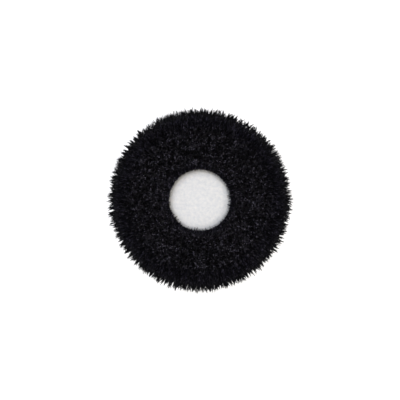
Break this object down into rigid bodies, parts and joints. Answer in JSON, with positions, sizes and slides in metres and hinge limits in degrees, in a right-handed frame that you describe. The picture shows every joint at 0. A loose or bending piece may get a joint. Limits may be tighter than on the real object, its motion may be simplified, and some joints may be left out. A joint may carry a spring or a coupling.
{
  "type": "furry windscreen",
  "caption": "Round puck-shaped furry windscreen: black faux-fur jacket with a round window over a white foam core, on a base with a rubber collar for a microphone.",
  "frame": {"origin": "centre of the base's flat underside, on the microphone's axis", "axes": "+Z along the microphone's axis, from the base towards the front window; X and Y across the base"},
  "size_m": [0.0876, 0.0876, 0.0428],
  "materials": {
    "base_plastic": "fine moulded texture",
    "cage_plastic": "smooth moulded",
    "collar_rubber": "matt",
    "closure_tape": "hook and loop",
    "white_foam": "open-cell foam",
    "white_fleece": "short white fleece",
    "knit_backing": "warp knit",
    "black_fur": "short dense faux fur",
    "binding_tape": "woven tape",
    "elastic_cord": "braided"
  },
  "bodies": {
    "base": {"base_ring": "base_plastic", "mic_collar": "collar_rubber", "capsule_cage": "cage_plastic", "cage_cap": "cage_plastic", "hook_tape": "closure_tape"},
    "core": {"foam_core": "white_foam", "face_pad": "white_fleece"},
    "jacket": {"front_ground": "knit_backing", "side_ground": "knit_backing", "front_pile": "black_fur", "side_pile": "black_fur", "window_binding": "binding_tape", "rim_seam": "knit_backing", "hem_casing": "binding_tape", "hem_elastic": "elastic_cord", "loop_tape": "closure_tape"}
  },
  "joints": [
    {"name": "core_lift", "type": "slide", "parent": "base", "child": "core", "axis": [0, 0, 1], "range_m": [0, 0.045]},
    {"name": "jacket_lift", "type": "slide", "parent": "core", "child": "jacket", "axis": [0, 0, 1], "range_m": [0, 0.055]}
  ]
}
